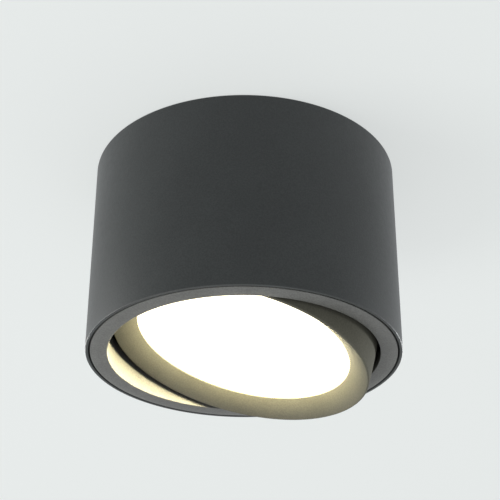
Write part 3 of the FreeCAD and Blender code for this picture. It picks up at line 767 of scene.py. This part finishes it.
def makeClampScrews():
    top = insertZ - terminal["wireHole"]
    low = top - terminal["clampLength"]
    radius = terminal["clampRadius"] - threadGap
    edge, half = terminal["clampEdge"], terminal["clampSlot"] / 2
    thread = threadOutline(radius, low + terminal["clampLead"], top, terminal["clampPitch"])
    screw = turnedSolid("clampScrews", [(radius - edge, low), (radius, low + edge)] + thread, facets["hole"])
    cutAway(screw, slab((-radius - overcut, -half, low - overcut),
                        (radius + overcut, half, low + terminal["clampSlotDepth"])))
    return spreadOut(screw, clampPlaces, "clampScrews")


def pairOfScrews(name, screw, seat):
    return joined([machineScrew(name, screw, seat, screwTip, side * screw["x"], screw["y"]) for side in (-1, 1)],
                  name)


handOver(makeTerminalBlock(), "fixture", "block_plastic", "terminal_block")
handOver(makeInserts(), "fixture", "brass", "terminal_inserts")
handOver(makeClampScrews(), "fixture", "zinc_steel", "clamp_screws")
handOver(pairOfScrews("blockScrews", blockScrew, blockLow + terminal["screwRecess"]), "fixture", "zinc_steel",
         "block_screws")
print("terminal block made")

driver = {
    "length": 60.0 * mm,
    "width": 30.0 * mm,
    "height": 19.0 * mm,
    "wall": 1.5 * mm,
    "cornerRound": 2.0 * mm,
    "y": -27.0 * mm,
    "coverThickness": 2.0 * mm,
    "tab": 7.0 * mm,
    "leadHole": 2.5 * mm,
    "caseRound": 0.35 * mm,
    "coverRound": 0.25 * mm,
}
coverLow = plateLow - driver["coverThickness"]
caseLow = coverLow - driver["height"]


def driverBox(margin, low, high):
    halfLength = driver["length"] / 2 - margin
    halfWidth = driver["width"] / 2 - margin
    return slab((-halfLength, driver["y"] - halfWidth, low), (halfLength, driver["y"] + halfWidth, high))


def makeDriverCase():
    piece = driverBox(0, caseLow, coverLow)
    piece.name = "driverCase"
    roundUprights(piece, driver["cornerRound"])
    roundEdges(piece, driver["caseRound"])
    inside = driverBox(driver["wall"], caseLow + driver["wall"], coverLow + overcut)
    roundUprights(inside, driver["cornerRound"] - driver["wall"] / 2)
    cutAway(piece, inside)
    reach = driver["length"] / 2 + overcut
    return cutAway(piece, rodAlong("X", driver["leadHole"], -reach, reach, (driver["y"], (caseLow + coverLow) / 2)))


def makeDriverCover():
    piece = driverBox(0, coverLow, plateLow)
    piece.name = "driverCover"
    roundUprights(piece, driver["cornerRound"])
    half = driver["tab"] / 2
    for side in (-1, 1):
        x = side * driverScrew["x"]
        ends = sorted((x, side * (driver["length"] / 2 - half)))
        weldOn(piece, slab((ends[0], driver["y"] - half, coverLow), (ends[1], driver["y"] + half, plateLow)),
               rodAlong("Z", half, coverLow, plateLow, (x, driver["y"])))
    roundEdges(piece, driver["coverRound"], 2, sharpAngle)
    for side in (-1, 1):
        cutAway(piece, drill(driverScrew["radius"] + fitGap, coverLow, plateLow,
                             (side * driverScrew["x"], driver["y"])))
    return piece


handOver(makeDriverCase(), "fixture", "driver_plastic", "driver_case")
handOver(makeDriverCover(), "fixture", "driver_plastic", "driver_cover")
handOver(pairOfScrews("driverScrews", driverScrew, coverLow), "fixture", "zinc_steel", "driver_screws")
print("driver made")

trim = {
    "gap": 0.6 * mm,
    "width": 6.5 * mm,
    "thickness": 2.2 * mm,
    "throat": 1.5 * mm,
    "collarHeight": 16.0 * mm,
    "flare": 2.6 * mm,
    "collarWall": 1.0 * mm,
    "edgeRound": 0.2 * mm,
    "lugDepth": 4.0 * mm,
    "lugReach": 1.9 * mm,
    "lugWidth": 8.0 * mm,
    "tabReach": 1.4 * mm,
    "padRadius": 5.0 * mm,
    "padInner": 51.1 * mm,
    "padThickness": 3.4 * mm,
    "padRound": 0.2 * mm,
    "pivotGap": 0.06 * mm,
}
clip = {
    "strip": 0.5 * mm,
    "width": 7.0 * mm,
    "rise": 4.4 * mm,
    "tipDrop": 2.95 * mm,
    "tipRadius": 57.88 * mm,
    "foot": 1.3 * mm,
    "bend": 0.45 * mm,
    "edgeRound": 0.1 * mm,
}
clipScrew = {"radius": 0.9 * mm, "headRadius": 1.3 * mm, "headHeight": 1.0 * mm, "pitch": 0.35 * mm,
             "slotWidth": 0.4 * mm, "slotDepth": 0.45 * mm, "length": 3.4 * mm}
trimRadius = drumRadius - drum["lipWall"] - trim["gap"]
trimBore = trimRadius - trim["width"]
collarTop = mouthZ + trim["collarHeight"]
collarBoreTop = trimBore + trim["flare"]
lugMiddle = collarBoreTop + trim["collarWall"] - (trim["collarWall"] + trim["lugReach"]) / 2
thirds = [ringTurn + index * 2 * math.pi / 3 for index in range(3)]
pivotShoulder = 2.0 * mm


def collarMiddle(height):
    slope = trim["flare"] / (trim["collarHeight"] - trim["throat"])
    return trimBore + (height - mouthZ - trim["throat"]) * slope + trim["collarWall"] / 2


def collarPad(radius, low, high, width, angle):
    # a pad that stands on the sloping collar, inside or outside it, and reaches to a radius
    outline = [(radius, low), (collarMiddle(low), low), (collarMiddle(high), high), (radius, high)]
    return sector(outline, width, angle)


def makeTrimRing():
    flangeTop = mouthZ + trim["thickness"]
    piece = turnedShell("trimRing", [
        (trimRadius, mouthZ), (trimRadius, flangeTop), (collarMiddle(flangeTop) + trim["collarWall"] / 2, flangeTop),
        (collarBoreTop + trim["collarWall"], collarTop), (collarBoreTop, collarTop),
        (trimBore, mouthZ + trim["throat"]), (trimBore, mouthZ)], facets["drum"])
    roundEdges(piece, trim["edgeRound"])
    lugLow, lugBore = collarTop - trim["lugDepth"], collarBoreTop - trim["lugReach"]
    for angle in thirds:
        weldOn(piece, collarPad(lugBore, lugLow, collarTop, trim["lugWidth"], angle))
    tabLow = mouthZ + drum["stopLow"]
    tabOuter = collarBoreTop + trim["collarWall"] + trim["tabReach"]
    weldOn(piece, collarPad(tabOuter, tabLow, tabLow + drum["stopHeight"], drum["stopWidth"], ringTurn + math.pi))
    padOuter = trim["padInner"] + trim["padThickness"]
    for angle in (ringTurn, ringTurn + math.pi):
        pad = rodAlong("Y", trim["padRadius"], trim["padInner"], padOuter, (0, pivot.z), facets["washer"])
        weldOn(piece, turnAboutAxis(roundEdges(pad, trim["padRound"], 2), angle))
        cutAway(piece, rodAlong("Y", pivotShoulder + trim["pivotGap"], trim["padInner"] - overcut,
                                padOuter + overcut, (0, pivot.z), angle=angle))
    for angle in thirds:
        cutAway(piece, drill(clipScrew["radius"] + threadGap, lugLow, collarTop, (lugMiddle, 0), angle))
    return piece


def makeClip():
    # a spring strip drawn as its middle line: foot, rise, then a leg that slopes out and down
    half = clip["strip"] / 2
    rise = lugMiddle + clip["foot"] + half + fitGap
    foot = lugMiddle - clip["foot"]
    base = collarTop + half
    crest = collarTop + clip["strip"] + clip["rise"] - half + clip["bend"] / 2
    deselectAll()
    bpy.ops.mesh.primitive_plane_add(size=1, location=((foot + rise) / 2, 0, base))
    piece = bpy.context.object
    bpy.ops.transform.resize(value=(rise - foot, clip["width"], 1))
    applyPlace(piece)
    selectNothing(piece, "VERT")
    for point in piece.data.vertices:
        point.select = point.co.x > rise - nearBy
    bpy.ops.object.mode_set(mode="EDIT")
    bpy.ops.mesh.extrude_region_move(TRANSFORM_OT_translate={"value": (0, 0, crest - base)})
    bpy.ops.mesh.extrude_region_move(
        TRANSFORM_OT_translate={"value": (clip["tipRadius"] - rise, 0, -clip["tipDrop"] + half - clip["bend"] / 2)})
    bpy.ops.object.mode_set(mode="OBJECT")
    roundEdges(piece, clip["bend"], 4)
    applyModifier(piece, "SOLIDIFY", thickness=clip["strip"], offset=0, use_even_offset=True)
    roundEdges(piece, clip["edgeRound"], 2, sharpAngle)
    return cutAway(piece, drill(clipScrew["radius"] + fitGap, collarTop, collarTop, (lugMiddle, 0)))


def makeClipScrews():
    seat = collarTop + clip["strip"]
    screw = machineScrew("clipScrews", clipScrew, seat, seat - clipScrew["length"], lugMiddle, 0)
    return joined(evenly(turnAboutAxis(screw, ringTurn), 3), "clipScrews")


handOver(makeTrimRing(), "swivel_ring", "ring_paint", "trim_ring")
for index, piece in enumerate(evenly(turnAboutAxis(makeClip(), ringTurn), 3)):
    piece.name = "retainingClip" + str(index + 1)
    handOver(piece, "swivel_ring", "spring_steel", "retaining_clip_" + str(index + 1))
handOver(makeClipScrews(), "swivel_ring", "zinc_steel", "clip_screws")
print("trim ring made")

head = {
    "rimGap": 1.5 * mm,
    "rimWidth": 0.8 * mm,
    "rimRound": 0.65 * mm,
    "rimSteps": 6,
    "edgeRound": 0.1 * mm,
    "edgeAngle": 40,  # in degrees
    "length": 22.0 * mm,
    "wall": 2.0 * mm,
    "coneDepth": 5.25 * mm,
    "coneWidth": 7.7 * mm,
    "land": 0.4 * mm,
    "bossCircle": 45.9 * mm,
    "bossRadius": 2.6 * mm,
    "plateSeat": 16.0 * mm,
    "pivotBossRadius": 3.5 * mm,
    "pivotBossEnd": 43.8 * mm,
    "flatDepth": 0.2 * mm,
    "washerRadius": 4.2 * mm,
    "washerThickness": 1.0 * mm,
    "washerRound": 0.15 * mm,
}
pivotScrew = {
    "threadRadius": 1.5 * mm,
    "threadStart": 44.8 * mm,
    "pitch": 0.5 * mm,
    "capGap": 0.1 * mm,
    "capRadius": 3.4 * mm,
    "capThickness": 1.5 * mm,
    "capRound": 0.3 * mm,
    "keyRadius": 1.25 * mm,
    "keyDepth": 0.9 * mm,
}
lens = {"lap": 1.3 * mm, "thickness": 2.0 * mm, "edgeRound": 0.3 * mm, "brightShare": 0.88}
sinkScrew = {**smallScrew, "depth": 6.0 * mm}
barrelRadius = trimBore - head["rimGap"]
barrelBore = barrelRadius - head["wall"]
lightRadius = barrelRadius - head["rimWidth"] - head["coneWidth"]
seatZ = mouthZ + head["coneDepth"] + head["land"]
plateSeat = seatZ - head["land"] - head["coneDepth"] + head["plateSeat"]
pivotFlat = barrelRadius - head["flatDepth"]
quarters = [math.pi / 4 + index * math.pi / 2 for index in range(4)]


def makeHeadShell():
    coneRim = barrelRadius - head["rimWidth"]
    top = mouthZ + head["length"]
    turn = head["rimRound"]
    rim = [(barrelRadius - turn + turn * math.sin(angle), mouthZ + turn - turn * math.cos(angle))
           for angle in [step * math.pi / 2 / head["rimSteps"] for step in range(head["rimSteps"] + 1)]]
    piece = turnedShell("headShell", rim + [
        (barrelRadius, top), (barrelBore, top), (barrelBore, seatZ), (lightRadius, seatZ),
        (lightRadius, seatZ - head["land"]), (coneRim, mouthZ)], facets["drum"])
    roundEdges(piece, head["edgeRound"], 2, head["edgeAngle"])
    for angle in quarters:
        place = (head["bossCircle"], 0)
        weldOn(piece, rodAlong("Z", head["bossRadius"], seatZ - overcut, plateSeat, place, angle=angle))
        cutAway(piece, drill(sinkScrew["radius"] + threadGap, plateSeat - sinkScrew["depth"], plateSeat, place,
                             angle))
    reach = barrelRadius + overcut
    place = (0, pivot.z)
    for angle in (0, math.pi):
        weldOn(piece, rodAlong("Y", head["pivotBossRadius"], head["pivotBossEnd"], barrelBore + overcut, place,
                               angle=angle))
        cutAway(piece, rodAlong("Y", head["washerRadius"] + fitGap, pivotFlat, reach, place, facets["washer"],
                                angle=angle),
                rodAlong("Y", pivotScrew["threadRadius"] + threadGap, head["pivotBossEnd"] - overcut, reach, place,
                         angle=angle))
    return leanWithHead(piece)


def makeLens():
    low, high = seatZ, seatZ + lens["thickness"]
    radius, edge = lightRadius + lens["lap"], lens["edgeRound"]
    piece = turnedSolid("lens", softCorner(radius, low, edge, 1) + softCorner(radius, high, edge, -1)[::-1])
    leanWithHead(piece)
    nodes = stuff["opal"].node_tree.nodes
    lean = Matrix.Rotation(ringTurn, 3, "Z") @ Matrix.Rotation(headLean, 3, "Y")
    nodes["reach"].inputs[1].default_value = pivot + lean @ (Vector((0, 0, low)) - pivot)
    setInputs(nodes["falloff"], {"From Min": lightRadius * lens["brightShare"], "From Max": lightRadius})
    return piece


def layOnPivot(piece, number):
    return leanWithHead(turnAboutAxis(layAlong(piece, "Y", (0, 0, pivot.z)), (number - 1) * math.pi))


def makePivotScrew(number):
    capLow = trim["padInner"] + trim["padThickness"] + pivotScrew["capGap"]
    face = capLow + pivotScrew["capThickness"]
    outline = threadOutline(pivotScrew["threadRadius"], pivotScrew["threadStart"], pivotFlat, pivotScrew["pitch"])
    outline += [(pivotShoulder, pivotFlat), (pivotShoulder, capLow), (pivotScrew["capRadius"], capLow)]
    outline += softCorner(pivotScrew["capRadius"], face, pivotScrew["capRound"], -1)[::-1]
    piece = turnedSolid("pivotScrew" + str(number), outline, facets["rod"])
    cutAway(piece, hexKey(pivotScrew["keyRadius"], face - pivotScrew["keyDepth"], face + overcut))
    return layOnPivot(piece, number)


def makePivotWasher(number):
    piece = squareRing("pivotWasher" + str(number), pivotShoulder + fitGap, head["washerRadius"], pivotFlat,
                       pivotFlat + head["washerThickness"], facets["washer"])
    return layOnPivot(roundEdges(piece, head["washerRound"], 2), number)


handOver(makeHeadShell(), "lamp_head", "head_paint", "head_body")
handOver(makeLens(), "lamp_head", "opal", "diffuser")
for number in (1, 2):
    handOver(makePivotScrew(number), "lamp_head", "zinc_steel", "pivot_screw_" + str(number))
    handOver(makePivotWasher(number), "lamp_head", "nylon", "pivot_washer_" + str(number))
print("lamp head made")

sink = {
    "gap": 0.3 * mm,
    "plate": 3.0 * mm,
    "finHeight": 11.0 * mm,
    "finThickness": 1.4 * mm,
    "finCount": 14,
    "finPitch": 5.6 * mm,
    "finCircle": 40.0 * mm,
    "leadPlace": 24.0 * mm,
    "wellRadius": 6.0 * mm,
    "leadHole": 3.0 * mm,
    "leadBore": 2.0 * mm,
    "leadFlange": 4.4 * mm,
    "leadFlangeThickness": 1.2 * mm,
    "boardScrewCircle": 30.0 * mm,
    "boardScrewTurn": 15,  # in degrees
    "edge": 0.4 * mm,
    "finRound": 0.45 * mm,
    "bushRound": 0.25 * mm,
}
sinkTop = plateSeat + sink["plate"]
finTop = sinkTop + sink["finHeight"]


def makeHeatSink():
    radius, edge = barrelBore - sink["gap"], sink["edge"]
    piece = turnedSolid("heatSink", [(radius - edge, plateSeat), (radius, plateSeat + edge), (radius, sinkTop - edge),
                                     (radius - edge, sinkTop)], facets["sink"])
    half = sink["finThickness"] / 2
    fins = []
    for index in range(sink["finCount"]):
        x = (index - (sink["finCount"] - 1) / 2) * sink["finPitch"]
        fin = slab((x - half, -sink["finCircle"], sinkTop - overcut), (x + half, sink["finCircle"], finTop))
        fins.append(roundEdges(fin, sink["finRound"]))
    fins = joined(fins)
    carve(fins, rodAlong("Z", sink["finCircle"], plateSeat, finTop + overcut, sides=facets["fins"]), "INTERSECT")
    weldOn(piece, fins)
    cutAway(piece, rodAlong("Z", sink["wellRadius"], sinkTop, finTop + overcut, (0, sink["leadPlace"])),
            rodAlong("Z", sink["leadHole"], plateSeat - overcut, finTop + overcut, (0, sink["leadPlace"])))
    for angle in quarters:
        cutAway(piece, drill(sinkScrew["radius"] + fitGap, plateSeat, sinkTop, (head["bossCircle"], 0), angle))
    for index in range(3):
        cutAway(piece, rodAlong("Z", sinkScrew["radius"] + threadGap, plateSeat - overcut, sinkTop - threadGap,
                                (sink["boardScrewCircle"], 0), facets["hole"],
                                angle=math.radians(sink["boardScrewTurn"] + index * 120)))
    return leanWithHead(piece)


def makeSinkScrews():
    screw = machineScrew("sinkScrews", sinkScrew, sinkTop, plateSeat - sinkScrew["depth"], head["bossCircle"], 0)
    return leanWithHead(joined(evenly(turnAboutAxis(screw, quarters[0]), 4), "sinkScrews"))


def makeLeadBush():
    neck = sink["leadHole"] - threadGap
    flangeTop = sinkTop + sink["leadFlangeThickness"]
    piece = turnedShell("leadBush", [
        (sink["leadBore"], plateSeat), (neck, plateSeat), (neck, sinkTop), (sink["leadFlange"], sinkTop),
        (sink["leadFlange"], flangeTop), (sink["leadBore"], flangeTop)], facets["washer"])
    return leanWithHead(moveTo(roundEdges(piece, sink["bushRound"]), 0, sink["leadPlace"]))


handOver(makeHeatSink(), "lamp_head", "bare_aluminium", "heat_sink")
handOver(makeSinkScrews(), "lamp_head", "zinc_steel", "sink_screws")
handOver(makeLeadBush(), "lamp_head", "bush_rubber", "lead_bush")
print("heat sink made")

room = {
    "ceilingSpan": 6.0,
    "ceilingGap": 0.2 * mm,
    "ceilingColour": (0.66, 0.684, 0.677),
    "ceilingRoughness": 0.9,
    "ceilingSpecular": 0.1,
    "litShare": 0.34,  # how much of the ceiling's tone comes from the lamps
    "worldColour": (0.9, 0.93, 0.95),
    "worldStrength": 0.66,
    "backdropColour": (0.8, 0.83, 0.82),
    "evenColour": (0.85, 0.878, 0.869),
}


def makeCeiling():
    deselectAll()
    bpy.ops.mesh.primitive_plane_add(size=room["ceilingSpan"], location=(0, 0, room["ceilingGap"]))
    ceiling = bpy.context.object
    ceiling.name = "ceiling"
    material, nodes, links, shader = newMaterial("ceilingPaint")
    setInputs(shader, {"Base Color": (*room["ceilingColour"], 1), "Roughness": room["ceilingRoughness"],
                       "Specular IOR Level": room["ceilingSpecular"]})
    # part of its tone is even, for the camera alone, and from above it is clear
    even = nodes.new("ShaderNodeEmission")
    setInputs(even, {"Color": (*room["evenColour"], 1)})
    path = nodes.new("ShaderNodeLightPath")
    evenShare = addRange(nodes, links, path.outputs["Is Camera Ray"], 0, 1 - room["litShare"])
    part = mixShaders(nodes, links, evenShare, shader.outputs["BSDF"], even.outputs["Emission"])
    side = nodes.new("ShaderNodeNewGeometry")
    clear = nodes.new("ShaderNodeBsdfTransparent")
    either = mixShaders(nodes, links, side.outputs["Backfacing"], clear.outputs["BSDF"], part)
    links.new(either, nodes["Material Output"].inputs["Surface"])
    ceiling.data.materials.append(material)
    ceiling.visible_diffuse = False
    ceiling.visible_glossy = False
    ceiling.visible_shadow = False


def makeWorld():
    world = bpy.data.worlds.new("studio")
    bpy.context.scene.world = world
    world.use_nodes = True
    nodes, links = world.node_tree.nodes, world.node_tree.links
    light = nodes["Background"]
    setInputs(light, {"Color": (*room["worldColour"], 1), "Strength": room["worldStrength"]})
    backdrop = nodes.new("ShaderNodeBackground")
    setInputs(backdrop, {"Color": (*room["backdropColour"], 1), "Strength": 1.0})
    path = nodes.new("ShaderNodeLightPath")
    either = mixShaders(nodes, links, path.outputs["Is Camera Ray"], light.outputs["Background"],
                        backdrop.outputs["Background"])
    links.new(either, nodes["World Output"].inputs["Surface"])


# a lamp points at the middle of the drum unless it names another target
drumMiddle = (0, 0, -0.05)
lamps = {
    "leftSide": {"place": (-2.4, 0.5, -0.07), "size": (1.2, 0.1), "energy": 30.0, "colour": (1.0, 1.0, 0.98)},
    "rightSide": {"place": (2.4, 0.5, -0.07), "size": (1.2, 0.1), "energy": 12.0, "colour": (0.97, 0.99, 1.0)},
    "leftRim": {"place": (-1.6, 2.0, -0.06), "size": (0.9, 0.08), "energy": 32.0, "colour": (1.0, 1.0, 0.99)},
    "rightRim": {"place": (1.6, 2.0, -0.06), "size": (0.9, 0.08), "energy": 42.0, "colour": (0.97, 0.99, 1.0)},
    "lowPanel": {"place": (-0.9, -0.2, -1.1), "size": (0.7, 0.7), "energy": 7.0, "colour": (1.0, 1.0, 0.97)},
    "floorPanel": {"place": (0, 0.3, -1.4), "size": (1.6, 1.6), "energy": 5.0, "colour": (1.0, 1.0, 0.98),
                   "target": (0, 0, 0)},
}


def makeAreaLight(name, lamp):
    data = bpy.data.lights.new(name, "AREA")
    data.shape = "RECTANGLE"
    data.size, data.size_y = lamp["size"]
    data.energy = lamp["energy"]
    data.color = lamp["colour"]
    light = bpy.data.objects.new(name, data)
    bpy.context.scene.collection.objects.link(light)
    light.location = lamp["place"]
    ray = Vector(lamp.get("target", drumMiddle)) - Vector(lamp["place"])
    light.rotation_euler = ray.to_track_quat("-Z", "Y").to_euler()


cameraSetup = {
    "back": 451.93 * mm,  # from the lamp's axis towards -Y
    "drop": 284.94 * mm,  # below the ceiling
    "pan": 0.0048,
    "pitch": 0.5101,
    "roll": 0.0033,
    "focal": 1304.5,  # in pixels of the 500 pixel picture
    "picture": 500,
    "nearest": 10.0 * mm,
}


def makeCamera():
    data = bpy.data.cameras.new("camera")
    data.lens = data.sensor_width * cameraSetup["focal"] / cameraSetup["picture"]
    data.clip_start = cameraSetup["nearest"]
    camera = bpy.data.objects.new("camera", data)
    bpy.context.scene.collection.objects.link(camera)
    pan, pitch, roll = cameraSetup["pan"], cameraSetup["pitch"], cameraSetup["roll"]
    forward = Vector((math.sin(pan) * math.cos(pitch), math.cos(pan) * math.cos(pitch), math.sin(pitch)))
    level = forward.cross(Vector((0, 0, 1))).normalized()
    upright = level.cross(forward)
    right = level * math.cos(roll) + upright * math.sin(roll)
    up = upright * math.cos(roll) - level * math.sin(roll)
    turn = Matrix((right, up, -forward)).transposed().to_4x4()
    camera.matrix_world = Matrix.Translation((0, -cameraSetup["back"], -cameraSetup["drop"])) @ turn
    bpy.context.scene.camera = camera


makeCeiling()
makeWorld()
for lampName, lamp in lamps.items():
    makeAreaLight(lampName, lamp)
makeCamera()
bpy.context.scene.view_settings.view_transform = "Standard"
print("stage set")
